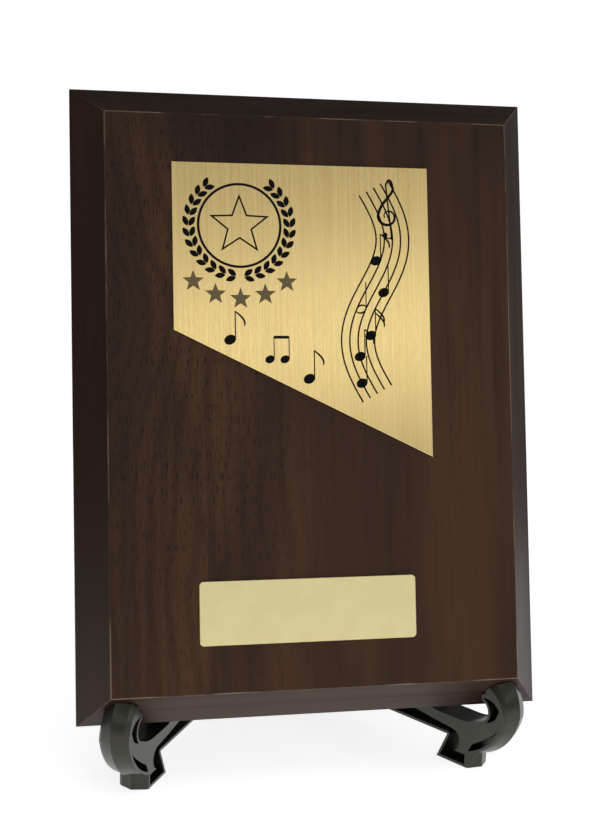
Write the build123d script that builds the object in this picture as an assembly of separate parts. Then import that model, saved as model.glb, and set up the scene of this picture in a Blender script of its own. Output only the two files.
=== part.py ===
from build123d import *
from math import cos, radians, sin, sqrt, tan
import os

os.makedirs("parts", exist_ok=True)

# Award plaque on a folding two-leaf easel. Millimetres, +Z up, the face looks along -Y.
# The origin is the centre of the underside of the whole object's bounding box.

# --- plaque board -------------------------------------------------------------------------
board_w = 150.0          # across
board_h = 200.0          # along the board
board_t = 16.0           # face to back
bevel_w = 10.0           # width of the bevel seen from the front
bevel_d = 13.2           # depth of the bevel, measured back from the face
skin_t = 0.5             # face sheet, bevel sheets and edge bands
back_t = 0.4             # back sheet
lean = radians(12.0)     # the board leans back by this much
face_height = 122.3      # centre of the face above the table

# --- plates on the face -------------------------------------------------------------------
plate_offset_x = -3.3    # both plates are glued slightly left of the middle
plate_w = 82.6
plate_top = 74.7         # top edge above the middle of the face
plate_left_bottom = 22.3
plate_right_bottom = -18.3
plate_t = 0.6
nameplate_w = 69.0
nameplate_h = 19.7
nameplate_mid = -65.4    # middle of the small plate, below the middle of the face
nameplate_t = 0.5
nameplate_r = 1.3
glue_t = 0.2
glue_inset = 1.5
plate_edge = 0.12         # small chamfer round the front of both plates

# --- easel leaf, drawn in its own plane: first number runs back, second runs up ------------
half_angle = radians(30.0)       # each leaf stands this far from straight back
foot_x = 56.7                    # front foot from the middle of the object
foot_y = -5.95                   # front foot from under the middle of the face
flange_w = 10.0                  # width of the rim across the leaf
rim_t = 0.9                      # thickness of the rim
web_t = 1.6                      # thickness of the panel inside the rim
side_step = (0.8, 0.3, 0.45)     # between side face and ridge: share across, share out, share up
bar_top = 15.7                   # the bar that joins the front foot to the rear post
bar_bottom = 9.1
front_neck = 8.6                 # the front foot: its back at the bar's underside
front_foot_back = 13.0           # and its back on the table
rear_foot = 11.0                 # length of the rear foot on the table
rear_neck = 15.0                 # and its length at the bar's underside
rest_low = 38.0                  # lower end of the back rest
rest_high = 101.0                # upper end of the back rest
crown_rise = 1.5                 # the back rest's rear corner above its front corner
strut = 9.0                      # width of the struts of the rear frame
window_r = 5.0                   # corners of the open triangle
window_below_post = 7.0
window_below_rest = 12.0
leaf_offset = 5.2                # leaf's middle plane from the hinge axis
seat_gap = 0.35                  # free space between the board and the easel

# --- front hook, at the side faces of the leaf --------------------------------------------------
heel_s = -0.3                    # front of the foot
heel_z = 4.9                     # where the foot's upright front turns into the chin
chin = (-10.3, 11.4)             # between the heel and the belly
belly = (-15.0, 20.4)            # furthest to the front
shoulder = (-12.9, 26.6)         # between the belly and the top
hook_top = (-7.0, 30.8)
nub = (-7.0, 27.6)               # inner corner under the top
lip = (-6.6, 24.9)               # mouth of the bowl that the board stands in
bowl = (-5.2, 17.9)              # front of the bowl's bottom
bar_start = 5.0                  # where the bowl's bottom meets the bar
stop_start = 14.0                # where the bar turns up into the stop behind the board
stop = (19.0, 22.5)
stop_top = (17.6, 29.0)

# --- how the ridge down the middle of the hook's front stands off its side faces ----------------
heel_ridge = (-2.45, 0.0)
chin_ridge = (-2.0, -0.6)
belly_ridge = (-2.6, 0.8)
shoulder_ridge = (-3.5, 2.0)
top_ridge = (-5.0, 4.2)

# --- hinge --------------------------------------------------------------------------------
pin_r = 1.5
pin_clearance = 0.05
barrel_r = 4.6
barrel_gap = 0.3
barrel_low = 4.0
barrel_h = 11.0
barrel_count = 5
tie_len = 8.0                    # block between a leaf and its barrels
tie_gap = 0.35                   # the block stops this far from the hinge's middle plane
pin_edge = 0.3                   # chamfer on the pin's ends
post_rise = 1.0                  # the rear post above the top barrel

hinge_s = (foot_x - leaf_offset * cos(half_angle)) / sin(half_angle)
hinge_y = foot_y + hinge_s * cos(half_angle) - leaf_offset * sin(half_angle)
rear_s = hinge_s - barrel_r - 0.8
post_top = barrel_low + barrel_count * (barrel_h + barrel_gap) + post_rise

board_plane = Plane(origin=(0, 0, face_height), x_dir=(1, 0, 0), z_dir=(0, -cos(lean), sin(lean)))
leaf_plane = Plane(
    origin=(foot_x, foot_y, 0),
    x_dir=(-sin(half_angle), cos(half_angle), 0),
    z_dir=(cos(half_angle), sin(half_angle), 0),
)


# --- board, built flat: x across, y up the board, z out of the face ---------------------------
def slab(half_w, half_h, low, high):
    return Pos(0, 0, (low + high) / 2) * Box(2 * half_w, 2 * half_h, high - low)


def bevelled(half_w, half_h, low, arris, top, shrink):
    """A block with a straight edge from low to arris and a bevel from arris to top."""
    base = slab(half_w, half_h, low, arris)
    lower = Plane.XY.offset(arris) * Rectangle(2 * half_w, 2 * half_h)
    upper = Plane.XY.offset(top) * Rectangle(2 * (half_w - shrink), 2 * (half_h - shrink))
    return base + loft([lower.face(), upper.face()], ruled=True)


def quarter(side):
    """A tall prism over one side of the board, cut off at 45 degrees at both corners."""
    far = 20.0
    depth = 2 * board_t
    half_w, half_h = board_w / 2, board_h / 2
    ridge = half_h - half_w
    if side in ("left", "right"):
        sign = 1 if side == "right" else -1
        corners = [
            (0, ridge),
            (sign * (half_w + far), half_h + far),
            (sign * (half_w + far), -half_h - far),
            (0, -ridge),
        ]
    else:
        sign = 1 if side == "top" else -1
        corners = [
            (0, sign * ridge),
            (half_w + far, sign * (half_h + far)),
            (-half_w - far, sign * (half_h + far)),
        ]
    outline = make_face(Polyline(*corners, close=True))
    return extrude(Plane.XY.offset(-depth) * outline, 2 * depth, dir=(0, 0, 1))


slope = bevel_w / bevel_d
skin_shift = skin_t * sqrt(1 + slope ** 2)
core_arris = -bevel_d + (skin_t - skin_shift) / slope
core_shrink = slope * (bevel_d - skin_t) + skin_shift - skin_t

whole_board = bevelled(board_w / 2, board_h / 2, -board_t, -bevel_d, 0, bevel_w)
board_core = bevelled(
    board_w / 2 - skin_t, board_h / 2 - skin_t, -board_t + back_t, core_arris, -skin_t, core_shrink
)
reach = board_w
face_sheet = whole_board & slab(reach, reach, -skin_t, 1)
back_sheet = slab(board_w / 2, board_h / 2, -board_t, -board_t + back_t)
jacket = whole_board - board_core
bevel_zone = jacket & slab(reach, reach, -bevel_d, -skin_t)
edge_zone = jacket & slab(reach, reach, -board_t + back_t, -bevel_d)

# --- plates ---------------------------------------------------------------------------------
plate_outline = make_face(
    Polyline(
        (plate_offset_x - plate_w / 2, plate_top),
        (plate_offset_x + plate_w / 2, plate_top),
        (plate_offset_x + plate_w / 2, plate_right_bottom),
        (plate_offset_x - plate_w / 2, plate_left_bottom),
        close=True,
    )
)
brushed_plate = extrude(Plane.XY.offset(glue_t) * plate_outline, plate_t, dir=(0, 0, 1))
brushed_plate = chamfer(brushed_plate.faces().sort_by(Axis.Z)[-1].edges(), plate_edge)
plate_glue = extrude(offset(plate_outline, -glue_inset), glue_t, dir=(0, 0, 1))
name_outline = Pos(plate_offset_x, nameplate_mid) * RectangleRounded(nameplate_w, nameplate_h, nameplate_r)
nameplate = extrude(Plane.XY.offset(glue_t) * name_outline, nameplate_t, dir=(0, 0, 1))
nameplate = chamfer(nameplate.faces().sort_by(Axis.Z)[-1].edges(), plate_edge)
name_glue_outline = Rectangle(nameplate_w - 2 * glue_inset, nameplate_h - 2 * glue_inset)
name_glue = extrude(Pos(plate_offset_x, nameplate_mid) * name_glue_outline, glue_t, dir=(0, 0, 1))


# --- easel leaf -----------------------------------------------------------------------------
def board_back(z):
    """Where the inner edge of the rim meets the back of the board, at height z."""
    y = -(face_height - z) * tan(lean) + board_t / cos(lean)
    inner_y = foot_y - flange_w / 2 * sin(half_angle)
    return (y - inner_y + seat_gap / cos(lean)) / cos(half_angle)


def towards_ridge(point, ridge, share):
    return (point[0] + share * ridge[0], point[1] + share * ridge[1])


def leaf_outline(out, rise):
    """Closed outline of a lengthwise section: both shares are 0 at the side faces, 1 at the ridge."""
    peak = towards_ridge(hook_top, top_ridge, rise)
    peak_shoulder = towards_ridge(shoulder, shoulder_ridge, rise)
    peak_belly = towards_ridge(belly, belly_ridge, out)
    peak_chin = towards_ridge(chin, chin_ridge, out)
    peak_heel = towards_ridge((heel_s, heel_z), heel_ridge, out)
    rest_foot = (board_back(rest_low), rest_low)
    rest_head = (board_back(rest_high), rest_high)
    crown = (rest_head[0] + strut, rest_high + crown_rise)
    lines = [
        # the bowl, the bar, the stop behind the board
        ThreePointArc(lip, (-8.4, 21.6), bowl),
        ThreePointArc(bowl, (-1.0, 16.3), (bar_start, bar_top)),
        Line((bar_start, bar_top), (stop_start, bar_top)),
        ThreePointArc((stop_start, bar_top), (18.2, 18.0), stop),
        Line(stop, stop_top),
        # the back rest, the sloping strut, the rear post
        ThreePointArc(stop_top, (14.6, 33.3), rest_foot),
        Line(rest_foot, rest_head),
        ThreePointArc(rest_head, (rest_head[0] + 0.4 * strut, rest_high + 3.6), crown),
        Line(crown, (rear_s, post_top)),
        Line((rear_s, post_top), (rear_s, 0)),
        # the rear foot, the bar's underside, the front foot
        Line((rear_s, 0), (rear_s - rear_foot, 0)),
        Line((rear_s - rear_foot, 0), (rear_s - rear_neck, bar_bottom)),
        Line((rear_s - rear_neck, bar_bottom), (front_neck, bar_bottom)),
        Line((front_neck, bar_bottom), (front_foot_back, 0)),
        Line((front_foot_back, 0), (peak_heel[0], 0)),
        # up the front of the hook and over its top
        Line((peak_heel[0], 0), peak_heel),
        ThreePointArc(peak_heel, peak_chin, peak_belly),
        ThreePointArc(peak_belly, peak_shoulder, peak),
        Line(peak, nub),
        ThreePointArc(nub, (-5.4, 26.2), lip),
    ]
    return make_face(Wire(lines))


def raised_outline():
    """The part of the side faces that is not sunk: belly, middle of the foot, top of the bar."""
    far = 34.0
    lines = [
        Line((0.3, 4.4), (5.6, 4.4)),
        ThreePointArc((5.6, 4.4), (3.1, 8.4), (6.4, 11.7)),
        Line((6.4, 11.7), (14.3, 12.4)),
        Line((14.3, 12.4), (far, bar_top - rim_t)),
        Line((far, bar_top - rim_t), (far, bar_top)),
        Line((far, bar_top), (12.0, bar_top)),
        Line((12.0, bar_top), (12.0, 18.0)),
        Line((12.0, 18.0), (-5.9, 18.0)),
        ThreePointArc((-5.9, 18.0), (-9.2, 18.7), (-11.6, 20.4)),
        Line((-11.6, 20.4), (-12.9, 23.4)),
        ThreePointArc((-12.9, 23.4), (-10.9, 25.5), (-7.4, 26.3)),
        Line((-7.4, 26.3), (-4.0, 27.0)),
        Line((-4.0, 27.0), (-4.0, 34.0)),
        Line((-4.0, 34.0), (-20.0, 34.0)),
        Line((-20.0, 34.0), (-20.0, 17.6)),
        Line((-20.0, 17.6), (-13.8, 17.6)),
        ThreePointArc((-13.8, 17.6), (-8.2, 12.8), (-2.3, 9.0)),
        Line((-2.3, 9.0), (0.3, 4.4)),
    ]
    return make_face(Wire(lines))


def window_outline():
    """The open triangle between the back rest, the bar and the sloping top strut."""
    corners = [
        (board_back(52.0) + strut, bar_top),
        (rear_s - strut, bar_top),
        (rear_s - strut, post_top - window_below_post),
        (board_back(rest_high) + strut, rest_high - window_below_rest),
    ]
    outline = make_face(Polyline(*corners, close=True))
    return fillet(outline.vertices(), window_r)


def thick(face, half):
    """The face made into a plate that reaches half to each side of the leaf's middle plane."""
    return extrude(Plane.XY.offset(-half) * face, 2 * half, dir=(0, 0, 1))


def leaf_panel():
    """One leaf: a thin panel with a rim round it and its window, a thick belly and a ridged front."""
    half = flange_w / 2
    edge = leaf_outline(0, 0)
    window = window_outline()
    rim = edge - offset(edge, -rim_t)
    window_rim = (offset(window, rim_t) - window) & edge
    raised = raised_outline() & edge
    body = thick(edge - window, web_t / 2) + thick(rim, half) + thick(window_rim, half)
    body = body + thick(raised, half)
    across, out, rise = side_step
    inner = across * half
    shares = [(-half, 0, 0), (-inner, out, rise), (0, 1, 1), (inner, out, rise), (half, 0, 0)]
    sections = [Plane.XY.offset(m) * leaf_outline(out, rise) for m, out, rise in shares]
    peaked = loft([section.face() for section in sections], ruled=True)
    reach_front = 40.0
    front = Pos(heel_s - reach_front / 2, 0, 0) * Box(reach_front, 4 * reach_front, 2 * flange_w)
    return body + ((peaked - thick(edge, 2 * half)) & front)


def barrels(first):
    """Hinge barrels of one leaf, with the blocks that tie them to its rear edge."""
    out = None
    for i in range(first, barrel_count, 2):
        z = barrel_low + i * (barrel_h + barrel_gap)
        tube = Pos(0, 0, z + barrel_h / 2) * Cylinder(barrel_r, barrel_h)
        tie = leaf_plane.location * Pos(hinge_s - tie_len / 2, z + barrel_h / 2, -leaf_offset / 2 - tie_gap)
        tie = tie * Box(tie_len, barrel_h, leaf_offset - 2 * tie_gap)
        piece = Pos(0, hinge_y, 0) * tube + tie
        out = piece if out is None else out + piece
    return out


def seat_space():
    """The space of the board and a little round it, from side to side of the object."""
    g = seat_gap
    length = sqrt(bevel_w ** 2 + bevel_d ** 2)
    edge_v = -board_h / 2 - g * bevel_d / length
    edge_n = -bevel_d + g * bevel_w / length
    over = 2.0
    flat = make_face(
        Polyline(
            (-board_h / 2 - g, -board_t - g),
            (-board_h / 2 - g, edge_n - (edge_v + board_h / 2 + g) / slope),
            (edge_v + bevel_w + over * slope, edge_n + bevel_d + over),
            (board_h / 2, edge_n + bevel_d + over),
            (board_h / 2, -board_t - g),
            close=True,
        )
    )
    return board_plane.location * extrude(Plane.YZ * flat, board_w, both=True)


def finish_leaf(panel, first, bore_r):
    leaf = leaf_plane.location * panel
    leaf = leaf - seat_space()
    leaf = leaf + barrels(first)
    hole = Pos(0, hinge_y, 0) * Cylinder(bore_r, 4 * post_top)
    return leaf - hole


panel = leaf_panel()
right_leaf = finish_leaf(panel, 1, pin_r + pin_clearance)
left_leaf = mirror(finish_leaf(panel, 0, pin_r), about=Plane.YZ)
pin_len = barrel_count * (barrel_h + barrel_gap) - barrel_gap
hinge_pin = Pos(0, hinge_y, barrel_low + pin_len / 2) * Cylinder(pin_r, pin_len)
hinge_pin = chamfer(hinge_pin.edges().filter_by(GeomType.CIRCLE), pin_edge)

# --- everything, in place ---------------------------------------------------------------------
on_board = {
    "board_core": board_core,
    "face_sheet": face_sheet,
    "back_sheet": back_sheet,
    "brushed_plate": brushed_plate,
    "plate_glue": plate_glue,
    "nameplate": nameplate,
    "nameplate_glue": name_glue,
}
for side in ("left", "right", "top", "bottom"):
    on_board["bevel_sheet_" + side] = bevel_zone & quarter(side)
    on_board["edge_band_" + side] = edge_zone & quarter(side)
nodes = {name: board_plane.location * solid for name, solid in on_board.items()}
nodes["easel_leaf_left"] = left_leaf
nodes["easel_leaf_right"] = right_leaf
nodes["hinge_pin"] = hinge_pin

everything = Compound(children=[Compound(s.solids()) for s in nodes.values()]).bounding_box()
middle_y = (everything.min.Y + everything.max.Y) / 2
for name, solid in nodes.items():
    placed = Pos(0, -middle_y, 0) * Compound(solid.solids())
    export_step(placed, "parts/" + name + ".step")
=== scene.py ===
from math import cos, hypot, pi, radians, sin

import bmesh
import bpy
from mathutils import Matrix, Vector


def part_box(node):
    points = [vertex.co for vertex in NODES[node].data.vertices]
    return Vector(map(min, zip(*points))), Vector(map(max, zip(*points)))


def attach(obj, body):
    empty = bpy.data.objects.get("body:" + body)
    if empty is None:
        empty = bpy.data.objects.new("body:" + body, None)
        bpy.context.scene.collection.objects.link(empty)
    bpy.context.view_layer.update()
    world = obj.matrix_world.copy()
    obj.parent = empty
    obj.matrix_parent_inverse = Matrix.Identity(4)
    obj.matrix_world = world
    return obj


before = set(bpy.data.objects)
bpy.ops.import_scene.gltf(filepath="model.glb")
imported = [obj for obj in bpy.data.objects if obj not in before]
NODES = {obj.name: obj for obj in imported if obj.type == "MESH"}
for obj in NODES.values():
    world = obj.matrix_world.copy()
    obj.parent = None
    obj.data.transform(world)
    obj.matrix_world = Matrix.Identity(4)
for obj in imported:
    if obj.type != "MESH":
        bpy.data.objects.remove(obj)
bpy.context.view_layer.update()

# --- the board's own axes: u across, v up the board, n out of its face, origin mid-face ---------
LEAN = radians(12.0)
FACE_HALF_V = 0.090
FACE_HALF_U = 65.0
FACE_Z = 0.1223
PLATE_TOP = 0.0008
MM = 0.001

# --- the print: ink thickness, and the shapes that repeat ---------------------------------------
INK = 0.00004
FLAT_AREA = 1e-7         # an outline smaller than this is left out
STAR_INNER = 0.42        # a star's inner corners, as a share of its radius

face_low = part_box("face_sheet")[0]
board_axes = Matrix((
    (1, 0, 0, 0),
    (0, sin(LEAN), -cos(LEAN), face_low[1] + FACE_HALF_V * sin(LEAN)),
    (0, cos(LEAN), sin(LEAN), FACE_Z),
    (0, 0, 0, 1),
))


# --- shader helpers ----------------------------------------------------------------------------
class Shader:
    """Builds one node material. Coordinates are the board's own axes, in millimetres."""

    def __init__(self, name, tilted=True):
        self.mat = bpy.data.materials.new(name)
        self.mat.use_nodes = True
        self.tree = self.mat.node_tree
        self.tree.nodes.clear()
        self.out = self.tree.nodes.new("ShaderNodeOutputMaterial")
        self.bsdf = self.tree.nodes.new("ShaderNodeBsdfPrincipled")
        self.tree.links.new(self.bsdf.outputs[0], self.out.inputs[0])
        place = self.tree.nodes.new("ShaderNodeTexCoord")
        mapping = self.tree.nodes.new("ShaderNodeMapping")
        mapping.inputs["Scale"].default_value = (1000, 1000, 1000)
        self.tree.links.new(place.outputs["Object"], mapping.inputs[0])
        self.coords = mapping.outputs[0]
        if tilted:
            turn = self.tree.nodes.new("ShaderNodeMapping")
            middle_v = 1000 * (board_axes[1][3] * sin(LEAN) + board_axes[2][3] * cos(LEAN))
            middle_n = 1000 * (board_axes[2][3] * sin(LEAN) - board_axes[1][3] * cos(LEAN))
            turn.inputs["Location"].default_value = (0, -middle_v, -middle_n)
            turn.inputs["Rotation"].default_value = (LEAN - pi / 2, 0, 0)
            self.tree.links.new(self.coords, turn.inputs[0])
            self.coords = turn.outputs[0]

    def link(self, source, socket):
        if hasattr(source, "is_output"):
            self.tree.links.new(source, socket)
        else:
            socket.default_value = source

    def stretch(self, scale, offset=(0, 0, 0), vector=None):
        node = self.tree.nodes.new("ShaderNodeMapping")
        node.inputs["Scale"].default_value = scale
        node.inputs["Location"].default_value = offset
        self.link(vector or self.coords, node.inputs[0])
        return node.outputs[0]

    def noise(self, scale, offset=(0, 0, 0), detail=4.0, rough=0.55, distortion=0.0, vector=None):
        node = self.tree.nodes.new("ShaderNodeTexNoise")
        node.inputs["Scale"].default_value = 1.0
        node.inputs["Detail"].default_value = detail
        node.inputs["Roughness"].default_value = rough
        node.inputs["Distortion"].default_value = distortion
        self.link(self.stretch(scale, offset, vector), node.inputs["Vector"])
        return node.outputs["Fac"]

    def math(self, kind, a, b=0.0, c=0.0, clamp=False):
        node = self.tree.nodes.new("ShaderNodeMath")
        node.operation = kind
        node.use_clamp = clamp
        for value, socket in zip((a, b, c), node.inputs):
            self.link(value, socket)
        return node.outputs[0]

    def span(self, value, low, high, to_low=0.0, to_high=1.0, smooth=True):
        node = self.tree.nodes.new("ShaderNodeMapRange")
        node.interpolation_type = "SMOOTHSTEP" if smooth else "LINEAR"
        self.link(value, node.inputs["Value"])
        for key, v in (("From Min", low), ("From Max", high), ("To Min", to_low), ("To Max", to_high)):
            self.link(v, node.inputs[key])
        return node.outputs[0]

    def mix(self, fac, a, b, kind="MIX"):
        node = self.tree.nodes.new("ShaderNodeMix")
        node.data_type = "RGBA"
        node.blend_type = kind
        node.clamp_factor = True
        self.link(fac, node.inputs[0])
        self.link(a, node.inputs[6])
        self.link(b, node.inputs[7])
        return node.outputs[2]

    def axis(self, which):
        node = self.tree.nodes.new("ShaderNodeSeparateXYZ")
        self.link(self.coords, node.inputs[0])
        return node.outputs[which]

    def bump(self, height, strength, distance=0.0001):
        node = self.tree.nodes.new("ShaderNodeBump")
        node.inputs["Strength"].default_value = strength
        node.inputs["Distance"].default_value = distance
        self.link(height, node.inputs["Height"])
        self.tree.links.new(node.outputs[0], self.bsdf.inputs["Normal"])

    def set(self, **sockets):
        for name, value in sockets.items():
            self.link(value, self.bsdf.inputs[name.replace("_", " ")])
        return self.mat


def rgb(r, g, b):
    """A colour given as it looks on screen, 0 to 255, turned to linear light."""
    def lin(c):
        c = c / 255
        return c / 12.92 if c <= 0.04045 else ((c + 0.055) / 1.055) ** 2.4
    return (lin(r), lin(g), lin(b), 1.0)


def wood(name, along, light=rgb(79, 54, 37), mid=rgb(62, 42, 30), dark=rgb(38, 26, 21), figure=True):
    """Dark walnut under a satin lacquer. along is the grain's direction, "u" or "v"."""
    s = Shader(name)
    wide, streaky = (0.045, 0.009, 0.045), (0.22, 0.006, 0.22)
    fine, pore = (1.1, 0.03, 1.1), (2.6, 0.28, 2.6)
    if along == "u":
        wide, streaky, fine, pore = ((v[1], v[0], v[2]) for v in (wide, streaky, fine, pore))
    broad = s.noise(wide, (3.1, 7.7, 1.3), 2.0, 0.5, 0.3)
    streak = s.noise(streaky, (11.0, 2.0, 4.0), 4.0, 0.55, 0.2)
    hair = s.noise(fine, (1.0, 6.0, 2.0), 3.0, 0.5)
    pores = s.noise(pore, (5.0, 9.0, 2.0), 2.0, 0.5)
    colour = s.mix(s.span(broad, 0.35, 0.65), mid, light)
    colour = s.mix(s.span(streak, 0.48, 0.72, 0.0, 0.45 if figure else 0.6), colour, dark)
    colour = s.mix(s.span(hair, 0.52, 0.72, 0.0, 0.22), colour, dark)
    pore_dark = s.span(pores, 0.60, 0.70, 0.0, 0.35)
    if figure:
        u, v = s.axis(0), s.axis(1)
        # growth rings that bend round a point left of the plate's low corner
        lift = s.math("DIVIDE", s.math("SUBTRACT", v, 24.0), 20.0)
        swell = s.math("EXPONENT", s.math("MULTIPLY", s.math("MULTIPLY", lift, lift), -1.0))
        near = s.span(u, -68.0, -20.0, 1.0, 0.0)
        wander = s.noise((0.03, 0.010, 0.03), (1.0, 4.0, 8.0), 3.0, 0.5)
        field = s.math("SUBTRACT", u, s.math("MULTIPLY", swell, s.math("MULTIPLY", near, 12.0)))
        field = s.math("ADD", field, s.math("MULTIPLY", wander, 34.0))
        rings = s.math("SINE", s.math("MULTIPLY", field, 0.95))
        shade = s.math("MULTIPLY", s.span(rings, 0.0, 1.0), s.span(u, -45.0, 22.0, 0.30, 0.06))
        colour = s.mix(shade, colour, dark)
        # a dark cloud along the top edge, left of the middle
        x = s.math("DIVIDE", s.math("ADD", u, 27.0), 27.0)
        y = s.math("DIVIDE", s.math("SUBTRACT", v, 86.0), 15.0)
        away = s.math("SQRT", s.math("ADD", s.math("MULTIPLY", x, x), s.math("MULTIPLY", y, y)))
        ragged = s.noise((0.10, 0.05, 0.10), (2.0, 2.0, 2.0), 4.0, 0.6)
        away = s.math("ADD", away, s.math("MULTIPLY", ragged, 1.2))
        colour = s.mix(s.span(away, 1.0, 1.8, 0.65, 0.0), colour, dark)
        # the top and the outer sides are a little darker than the middle
        to_side = s.span(s.math("ABSOLUTE", u), 46.0, 65.0, 0.0, 0.22)
        gloom = s.math("MAXIMUM", s.span(v, 60.0, 90.0, 0.0, 0.35), to_side)
        colour = s.mix(gloom, colour, dark)
        # open pores, thickest low on the left
        zone = s.math("MULTIPLY", s.span(u, -30.0, 10.0, 1.0, 0.2), s.span(v, -75.0, -20.0, 0.45, 1.0))
        pore_dark = s.math("MULTIPLY", s.span(pores, 0.56, 0.66, 0.0, 0.85), zone)
    colour = s.mix(pore_dark, colour, rgb(26, 18, 15))
    # a painted highlight, in patches, along the front corners and the mitres, partly lacquer rubbed paler
    # there
    across = s.math("SUBTRACT", s.math("ABSOLUTE", s.axis(0)), FACE_HALF_U)
    along_v = s.math("SUBTRACT", s.math("ABSOLUTE", s.axis(1)), 1000 * FACE_HALF_V)
    corner = s.span(s.math("ABSOLUTE", s.math("MAXIMUM", across, along_v)), 0.06, 0.30, 1.0, 0.0)
    if not figure:
        mitre = s.span(s.math("ABSOLUTE", s.math("SUBTRACT", across, along_v)), 0.05, 0.30, 0.8, 0.0)
        corner = s.math("MAXIMUM", corner, mitre)
    wear_and_highlight = s.span(s.noise((0.05, 0.03, 0.05), (7.0, 3.0, 5.0), 3.0, 0.6), 0.42, 0.58, 0.05, 0.6)
    # the pale colour here is painted highlight, partly wear, on the arrises and mitres
    colour = s.mix(s.math("MULTIPLY", corner, wear_and_highlight), colour, rgb(150, 128, 108))
    rough = s.span(streak, 0.3, 0.8, 0.36, 0.48)
    s.bump(s.math("SUBTRACT", 1.0, s.span(pores, 0.58, 0.74)), 0.25, 0.00003)
    tint = (1.0, 1.0, 1.0, 1.0) if figure else (1.0, 0.96, 0.84, 1.0)
    s.set(Specular_IOR_Level=0.15, Specular_Tint=tint, Coat_Weight=0.0)
    return s.set(Base_Color=colour, Roughness=rough)


def brushed_gold():
    s = Shader("brushed_gold")
    bands = s.noise((0.9, 0.003, 0.9), (2, 0, 0), 5.0, 0.7)
    long_lines = s.noise((3.2, 0.02, 3.2), (0, 0, 0), 3.0, 0.6)
    hair = s.noise((22.0, 0.35, 22.0), (4, 1, 0), 2.0, 0.5)
    colour = s.mix(s.span(long_lines, 0.3, 0.7), (0.78, 0.57, 0.23, 1), (0.91, 0.69, 0.29, 1))
    colour = s.mix(s.span(bands, 0.3, 0.7, 0.0, 0.5), colour, (0.94, 0.75, 0.35, 1))
    rough = s.math("ADD", s.span(hair, 0.3, 0.7, 0.17, 0.25), s.span(bands, 0.3, 0.7, 0.0, 0.05))
    grooves = s.math("ADD", s.math("MULTIPLY", hair, 0.5), s.math("MULTIPLY", long_lines, 0.5))
    s.bump(grooves, 0.4, 0.000012)
    return s.set(Base_Color=colour, Roughness=rough, Metallic=1.0)


def satin_gold():
    s = Shader("satin_gold")
    mottle = s.noise((0.12, 0.12, 0.12), (0, 0, 0), 3.0, 0.5)
    grit = s.noise((9.0, 9.0, 9.0), (0, 0, 0), 2.0, 0.5)
    colour = s.mix(s.span(mottle, 0.35, 0.65), (0.95, 0.85, 0.44, 1), (0.98, 0.88, 0.47, 1))
    rough = s.span(grit, 0.3, 0.7, 0.44, 0.50)
    s.bump(grit, 0.10, 0.000004)
    return s.set(Base_Color=colour, Roughness=rough, Metallic=1.0)


def ink(name, colour, worn):
    s = Shader(name)
    spread = s.noise((2.2, 2.2, 2.2), (0, 0, 0), 3.0, 0.5)
    tone = s.mix(s.span(spread, 0.3, 0.7), colour, worn)
    s.bump(spread, 0.1, 0.00001)
    return s.set(Base_Color=tone, Roughness=s.span(spread, 0.3, 0.7, 0.55, 0.7), Specular_IOR_Level=0.12)


def plastic():
    s = Shader("black_plastic", tilted=False)
    grain = s.noise((3.5, 3.5, 3.5), (0, 0, 0), 3.0, 0.5)
    flow = s.noise((0.08, 0.08, 0.25), (1, 2, 3), 2.0, 0.5)
    tone = s.mix(s.span(flow, 0.35, 0.65), rgb(22, 22, 17), rgb(31, 30, 23))
    s.bump(grain, 0.12, 0.00004)
    s.set(Specular_IOR_Level=0.55, Specular_Tint=(1.0, 0.99, 0.84, 1.0))
    return s.set(Base_Color=tone, Roughness=s.span(grain, 0.3, 0.7, 0.24, 0.33))


def simple(name, a, b, scale, rough, metallic=0.0):
    s = Shader(name, tilted=False)
    n = s.noise(scale, (0, 0, 0), 4.0, 0.6)
    s.bump(n, 0.2, 0.00003)
    colour = s.mix(s.span(n, 0.3, 0.7), a, b)
    finish = s.span(n, 0.3, 0.7, rough - 0.06, rough + 0.06)
    return s.set(Base_Color=colour, Roughness=finish, Metallic=metallic)


def paint(node, material, bevel=0.0):
    """Gives a CAD node its material and, where it shows, a softened edge."""
    obj = NODES[node]
    if not obj.material_slots:
        obj.data.materials.append(material)
    for slot in obj.material_slots:
        slot.material = material
    if bevel:
        mod = obj.modifiers.new("soft_edges", "BEVEL")
        mod.width = bevel
        mod.segments = 2
        mod.limit_method = "ANGLE"
        mod.angle_limit = radians(25)
        mod.harden_normals = True


face_wood = wood("walnut_face", "v")
SIDE_TONES = (rgb(58, 41, 33), rgb(48, 34, 28), rgb(28, 21, 19))
side_wood = wood("walnut_sides", "v", *SIDE_TONES, figure=False)
end_wood = wood("walnut_ends", "u", *SIDE_TONES, figure=False)
gold = brushed_gold()
pale_gold = satin_gold()
black_ink = ink("black_ink", rgb(5, 5, 4), rgb(10, 9, 8))
grey_ink = ink("olive_ink", rgb(112, 100, 70), rgb(122, 108, 77))
grey_rim = ink("olive_ink_rim", rgb(84, 75, 54), rgb(92, 82, 60))
black_plastic = plastic()
paint("face_sheet", face_wood, 0.00022)
for side in ("left", "right"):
    paint("bevel_sheet_" + side, side_wood, 0.00018)
    paint("edge_band_" + side, side_wood, 0.00018)
for side in ("top", "bottom"):
    paint("bevel_sheet_" + side, end_wood, 0.00018)
    paint("edge_band_" + side, end_wood, 0.00018)
paint("board_core", simple("fibreboard", rgb(150, 115, 80), rgb(128, 96, 66), (1.4, 1.4, 1.4), 0.8))
paint("back_sheet", simple("black_paper", rgb(26, 25, 25), rgb(34, 33, 32), (1.1, 1.1, 1.1), 0.75))
paint("brushed_plate", gold)
paint("nameplate", pale_gold)
glue = simple("glue_film", rgb(205, 205, 190), rgb(190, 190, 176), (0.8, 0.8, 0.8), 0.5)
paint("plate_glue", glue)
paint("nameplate_glue", glue)
for side in ("left", "right"):
    paint("easel_leaf_" + side, black_plastic, 0.00035)
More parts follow.
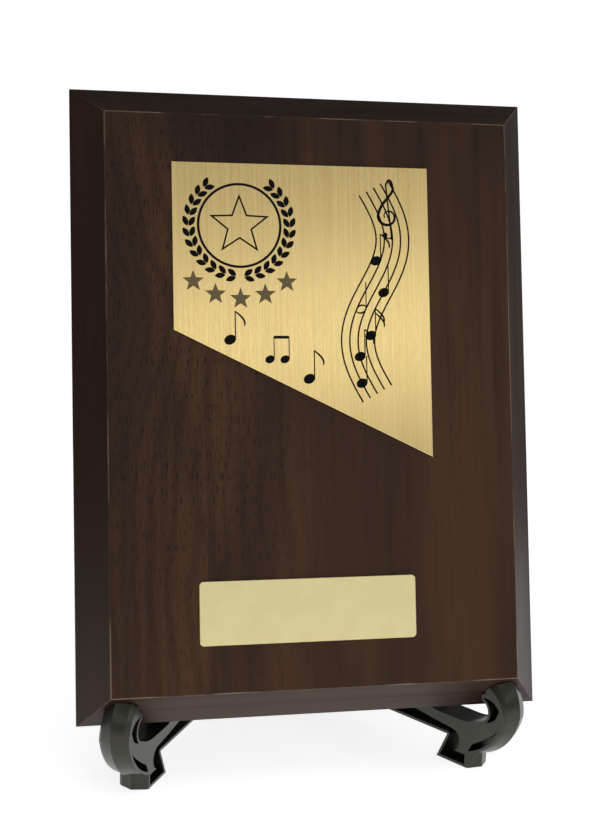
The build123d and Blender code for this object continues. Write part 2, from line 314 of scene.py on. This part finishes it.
paint("hinge_pin", simple("wire", (0.5, 0.5, 0.5, 1), (0.58, 0.58, 0.57, 1), (2, 2, 30), 0.3, 1.0))


# --- the print on the large plate, drawn in board millimetres -----------------------------------
def turned(points, centre, angle=0.0, scale=1.0):
    c, s = cos(angle) * scale, sin(angle) * scale
    return [(centre[0] + x * c - y * s, centre[1] + x * s + y * c) for x, y in points]


def smooth(points, steps):
    """Points along a smooth open curve through the given ones."""
    last = len(points) - 1
    out = []
    for i in range(last):
        a, b, c, d = (points[min(max(i + k, 0), last)] for k in (-1, 0, 1, 2))
        for j in range(steps):
            t = j / steps
            w = (
                -0.5 * t + t ** 2 - 0.5 * t ** 3,
                1 - 2.5 * t ** 2 + 1.5 * t ** 3,
                0.5 * t + 2 * t ** 2 - 1.5 * t ** 3,
                -0.5 * t ** 2 + 0.5 * t ** 3,
            )
            out.append(tuple(sum(k * p[m] for k, p in zip(w, (a, b, c, d))) for m in range(2)))
    out.append(points[-1])
    return out


def ribbon(path, width, closed=False):
    """Quads along a path. width is a number or a function of the share of the way along."""
    n = len(path)
    left, right = [], []
    for i, (x, y) in enumerate(path):
        if closed:
            (ax, ay), (bx, by) = path[i - 1], path[(i + 1) % n]
        else:
            (ax, ay), (bx, by) = path[max(i - 1, 0)], path[min(i + 1, n - 1)]
        length = hypot(bx - ax, by - ay) or 1.0
        w = (width(i / (n - 1)) if callable(width) else width) / 2
        nx, ny = -(by - ay) / length * w, (bx - ax) / length * w
        left.append((x + nx, y + ny))
        right.append((x - nx, y - ny))
    last = n if closed else n - 1
    return [[left[i], left[(i + 1) % n], right[(i + 1) % n], right[i]] for i in range(last)]


def ellipse(cx, cy, rx, ry, angle=0.0, n=28):
    rim = [(rx * cos(2 * pi * i / n), ry * sin(2 * pi * i / n)) for i in range(n)]
    return turned(rim, (cx, cy), angle)


def star(cx, cy, radius):
    """A five-pointed star with one point straight up."""
    corners = []
    for i in range(10):
        r = radius if i % 2 == 0 else radius * STAR_INNER
        a = pi / 2 + i * pi / 5
        corners.append((r * cos(a), r * sin(a)))
    return turned(corners, (cx, cy))


def shrunk(points, centre, share):
    return [(centre[0] + (x - centre[0]) * share, centre[1] + (y - centre[1]) * share) for x, y in points]


def band_between(outer, inner):
    n = len(outer)
    return [[outer[i], outer[(i + 1) % n], inner[(i + 1) % n], inner[i]] for i in range(n)]


def printed(name, polygons, material):
    """A thin raised layer of ink on the large plate, one prism for each outline."""
    mesh = bpy.data.meshes.new(name)
    bm = bmesh.new()
    for points in polygons:
        area = sum(a[0] * b[1] - b[0] * a[1] for a, b in zip(points, points[1:] + points[:1]))
        if abs(area) < FLAT_AREA:
            continue
        ring = points if area > 0 else points[::-1]
        low = [bm.verts.new(board_axes @ Vector((x * MM, y * MM, PLATE_TOP))) for x, y in ring]
        high = [bm.verts.new(board_axes @ Vector((x * MM, y * MM, PLATE_TOP + INK))) for x, y in ring]
        bm.faces.new(high)
        bm.faces.new(low[::-1])
        for i in range(len(ring)):
            j = (i + 1) % len(ring)
            bm.faces.new((low[i], low[j], high[j], high[i]))
    bmesh.ops.triangulate(bm, faces=[f for f in bm.faces if len(f.verts) > 4])
    bm.to_mesh(mesh)
    bm.free()
    mesh.materials.append(material)
    obj = bpy.data.objects.new(name, mesh)
    bpy.context.scene.collection.objects.link(obj)
    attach(obj, "plaque")
    return obj


# emblem: a plain star in a ring, inside an ordinary laurel wreath
EMBLEM = (-23.5, 55.0)
RING_R = 13.0
RING_LINE = 0.78
STAR_R, STAR_LINE = 10.0, 0.85
ring = ellipse(EMBLEM[0], EMBLEM[1], RING_R, RING_R, n=96)
printed("emblem_ring", ribbon(ring, RING_LINE, closed=True), black_ink)
outer_star = star(EMBLEM[0], EMBLEM[1], STAR_R)
printed("emblem_star", band_between(outer_star, shrunk(outer_star, EMBLEM, STAR_LINE)), black_ink)


def leaf(centre, angle, length=3.4, width=1.75):
    """A pointed oval lying along its angle."""
    n = 10
    upper = [(length * (i / n - 0.5), width / 2 * sin(pi * i / n) ** 0.8) for i in range(n + 1)]
    lower = [(x, -y) for x, y in upper[-2:0:-1]]
    return turned(upper + lower, centre, angle)


def spray(side, pairs=12):
    """One half of the wreath: pairs of leaves at even steps. side is 1 for right, -1 for left."""
    out = []
    for i in range(pairs):
        for radius, tilt in ((17.0, -28), (15.0, 28)):
            a = radians(10 + 132 * i / (pairs - 1))
            heading = a + radians(tilt)
            centre = (EMBLEM[0] + side * radius * sin(a), EMBLEM[1] - radius * cos(a))
            out.append(leaf(centre, heading if side > 0 else pi - heading))
    return out


printed("wreath_right", spray(1), black_ink)
printed("wreath_left", spray(-1), black_ink)

# five small stars, evenly spaced on an arc centred below the wreath
SMALL_STARS, STAR_STEP, STAR_ARC = 5, 20.0, 23.0
SMALL_STAR_R, SMALL_STAR_BODY = 3.5, 0.93
bodies, rims = [], []
for i in range(SMALL_STARS):
    a = radians(-90.0 + STAR_STEP * (i - (SMALL_STARS - 1) / 2))
    centre = (EMBLEM[0] + STAR_ARC * cos(a), EMBLEM[1] + STAR_ARC * sin(a))
    shape = star(centre[0], centre[1], SMALL_STAR_R)
    bodies.append(shrunk(shape, centre, SMALL_STAR_BODY))
    rims += band_between(shape, shrunk(shape, centre, SMALL_STAR_BODY))
printed("small_stars", bodies, grey_ink)
printed("small_star_rims", rims, grey_rim)

# a plain five-line staff that waves down the right half of the plate
STAFF_TOP, STAFF_BOTTOM = 68.0, 2.0
STAFF_MID, STAFF_WAVE = 20.0, 6.0
STAFF_GAP = 2.7


def on_staff(t, step):
    """The point a share t of the way down the staff, step half-gaps off its middle line."""
    wave = 2 * pi * t
    x = STAFF_MID + STAFF_WAVE * sin(wave)
    y = STAFF_TOP + (STAFF_BOTTOM - STAFF_TOP) * t
    run, fall = STAFF_WAVE * 2 * pi * cos(wave), STAFF_BOTTOM - STAFF_TOP
    length = hypot(run, fall)
    off = step * STAFF_GAP / 2
    return (x - fall / length * off, y + run / length * off)


lines = []
for step in (-4, -2, 0, 2, 4):
    lines += ribbon([on_staff(i / 60, step) for i in range(61)], 0.50)
printed("staff_lines", lines, black_ink)


def note(x, y, size, flags=1, hollow=False):
    """An ordinary note: a tilted head, a straight stem up its right side, and its flags."""
    tilt = radians(24)
    out = []
    head = ellipse(x, y, 1.28 * size, 1.0 * size, tilt)
    if hollow:
        out += band_between(head, ellipse(x, y, 1.02 * size, 0.62 * size, tilt))
    else:
        out.append(head)
    root = (x + 1.12 * size, y + 0.35 * size)
    height = 5.6 * size
    out += ribbon([root, (root[0], root[1] + height)], 0.24 * size)
    for k in range(flags):
        top = (root[0], root[1] + height * (1 - 0.18 * k))
        curl = [(0.36 * sin(radians(110 * i / 24)), -0.56 * i / 24) for i in range(25)]
        path = [(top[0] + height * px, top[1] + height * py) for px, py in curl]
        out += ribbon(path, lambda t: height * (0.10 * (1 - t) ** 0.5 * (0.35 + t) + 0.012))
    return out


def pair(x, y, size):
    """Two notes joined by a beam."""
    gap = 4.0 * size
    left, right = x + 1.12 * size, x + gap + 1.12 * size
    beam = y + 5.8 * size
    heads = note(x, y, size, flags=0) + note(x + gap, y, size, flags=0)
    return heads + ribbon([(left, beam), (right, beam)], 0.75 * size)


KINDS = (dict(flags=1), dict(flags=0), dict(flags=0, hollow=True), dict(flags=2))
STEPS = (-3, 2, -1, 3, 0, -2)
# the ends of the plate's lower edge, as part of its CAD shape
EDGE_LEFT, EDGE_RIGHT = (-44.6, 22.3), (38.0, -18.3)
EDGE_SLOPE = (EDGE_RIGHT[1] - EDGE_LEFT[1]) / (EDGE_RIGHT[0] - EDGE_LEFT[0])
ROW_START, ROW_STEP, ROW_ABOVE_EDGE = -27.0, 12.5, 5.5
notes = []
for i, step in enumerate(STEPS):
    x, y = on_staff(0.38 + 0.11 * i, step)
    notes += note(x, y, 1.45, **KINDS[i % len(KINDS)])
# a row at even steps, a little above the plate's sloping lower edge
for i, (kind, size) in enumerate(((note, 1.5), (pair, 1.2), (note, 1.5))):
    x = ROW_START + ROW_STEP * i
    edge_y = EDGE_LEFT[1] + EDGE_SLOPE * (x - EDGE_LEFT[0])
    notes += kind(x, edge_y + ROW_ABOVE_EDGE, size)
printed("notes", notes, black_ink)

# the ordinary G clef at the head of the staff
HOOK_Y, HOOK_R = -2.4, 0.42


def arc_points(cx, cy, rx, ry, start, end, n):
    """Points along an elliptical arc, its angles in degrees."""
    angles = [radians(start + (end - start) * i / (n - 1)) for i in range(n)]
    return [(cx + rx * cos(a), cy + ry * sin(a)) for a in angles]


def clef_path():
    """A spiral round the G line, up to the loop, down the stem and round the hook at its foot."""
    spiral = []
    for i in range(13):
        a, r = radians(200 - 32.5 * i), 0.45 + 0.85 * i / 12
        spiral.append((r * cos(a), r * sin(a)))
    loop = arc_points(0.25, 3.7, 0.42, 1.0, -30, 190, 6)
    return spiral + [(-0.75, 1.45)] + loop + arc_points(0, HOOK_Y, HOOK_R, HOOK_R, 0, -150, 4)


def clef(x, y, size, weight):
    path = turned(smooth(clef_path(), 6), (x, y), 0.0, size)
    ball = (x - HOOK_R * size, y + HOOK_Y * size)

    def width(t):
        return weight * size * (0.55 + 0.75 * sin(pi * min(max(t, 0.0), 1.0)) ** 2)

    return ribbon(path, width) + [ellipse(ball[0], ball[1], 0.34 * size, 0.34 * size)]


clef_x, clef_y = on_staff(0.14, 0)
printed("clef", clef(clef_x, clef_y, 2.5, 0.28), black_ink)


# --- floor, light and camera --------------------------------------------------------------------
def floor_sheet():
    """An oval pale floor that reaches a little under half a metre from the object."""
    mesh = bpy.data.meshes.new("floor")
    bm = bmesh.new()
    steps = [2 * pi * i / 96 for i in range(96)]
    bm.faces.new([bm.verts.new((0.38 * cos(a), 0.02 + 0.50 * sin(a), -0.0002)) for a in steps])
    bm.to_mesh(mesh)
    bm.free()
    obj = bpy.data.objects.new("floor", mesh)
    bpy.context.scene.collection.objects.link(obj)
    s = Shader("pale_floor", tilted=False)
    n = s.noise((0.02, 0.02, 0.02), (0, 0, 0), 3.0, 0.5)
    tone = s.mix(s.span(n, 0.3, 0.7), (0.88, 0.88, 0.87, 1), (0.91, 0.91, 0.90, 1))
    s.set(Emission_Color=(1, 1, 1, 1), Emission_Strength=0.80)
    obj.data.materials.append(s.set(Base_Color=tone, Roughness=0.75))


def softbox(name, place, aim, width, height, power):
    light = bpy.data.lights.new(name, "AREA")
    light.shape = "RECTANGLE"
    light.size, light.size_y = width, height
    light.energy = power
    obj = bpy.data.objects.new(name, light)
    obj.location = place
    obj.rotation_euler = (Vector(aim) - Vector(place)).to_track_quat("-Z", "Y").to_euler()
    bpy.context.scene.collection.objects.link(obj)


def studio_world():
    """White behind the object. As light, bright in front, dim to the left, above and behind."""
    world = bpy.data.worlds.new("studio")
    world.use_nodes = True
    bpy.context.scene.world = world
    tree = world.node_tree
    place = tree.nodes.new("ShaderNodeTexCoord")
    parts = tree.nodes.new("ShaderNodeSeparateXYZ")
    tree.links.new(place.outputs["Generated"], parts.inputs[0])
    total = None
    for axis, low, high, at_low, at_high in ((1, -0.8, -0.1, FRONT, 0.0), (0, 0.2, 0.9, 0.0, RIGHT)):
        span = tree.nodes.new("ShaderNodeMapRange")
        span.interpolation_type = "SMOOTHSTEP"
        tree.links.new(parts.outputs[axis], span.inputs["Value"])
        for key, value in (("From Min", low), ("From Max", high), ("To Min", at_low), ("To Max", at_high)):
            span.inputs[key].default_value = value
        add = tree.nodes.new("ShaderNodeMath")
        add.operation = "ADD"
        tree.links.new(span.outputs[0], add.inputs[0])
        if total is None:
            add.inputs[1].default_value = DIM
        else:
            tree.links.new(total, add.inputs[1])
        total = add.outputs[0]
    seen = tree.nodes.new("ShaderNodeLightPath")
    strength = tree.nodes.new("ShaderNodeMix")
    strength.data_type = "FLOAT"
    tree.links.new(seen.outputs["Is Camera Ray"], strength.inputs[0])
    tree.links.new(total, strength.inputs[2])
    strength.inputs[3].default_value = 1.02
    background = tree.nodes["Background"]
    background.inputs["Color"].default_value = (1.0, 1.0, 1.0, 1.0)
    tree.links.new(strength.outputs[0], background.inputs["Strength"])


DIM, FRONT, RIGHT = 0.09, 0.33, 0.10
floor_sheet()
studio_world()
softbox("key", (0.34, -1.02, 0.47), (0, 0, 0.14), 0.9, 0.16, 0.42)
softbox("right", (1.3, -0.1, 0.5), (0, 0, 0.12), 0.9, 1.2, 3.0)
softbox("overhead", (0.0, -0.6, 2.0), (0, 0, 0), 1.8, 1.2, 7.0)

CAMERA = (-0.09113, -0.43904, 0.18703)
AIM = (-0.00518, -0.03355, 0.11924)
ROLL = radians(1.43)
LENS = 58.62
camera = bpy.data.cameras.new("camera")
camera.lens = LENS
camera.sensor_width = 36.0
camera.clip_start = 0.01
view = bpy.data.objects.new("camera", camera)
view.location = CAMERA
look = (Vector(AIM) - Vector(CAMERA)).to_track_quat("-Z", "Y").to_matrix()
view.rotation_euler = (look @ Matrix.Rotation(ROLL, 3, "Z")).to_euler()
bpy.context.scene.collection.objects.link(view)
bpy.context.scene.camera = view
bpy.context.scene.view_settings.view_transform = "Standard"
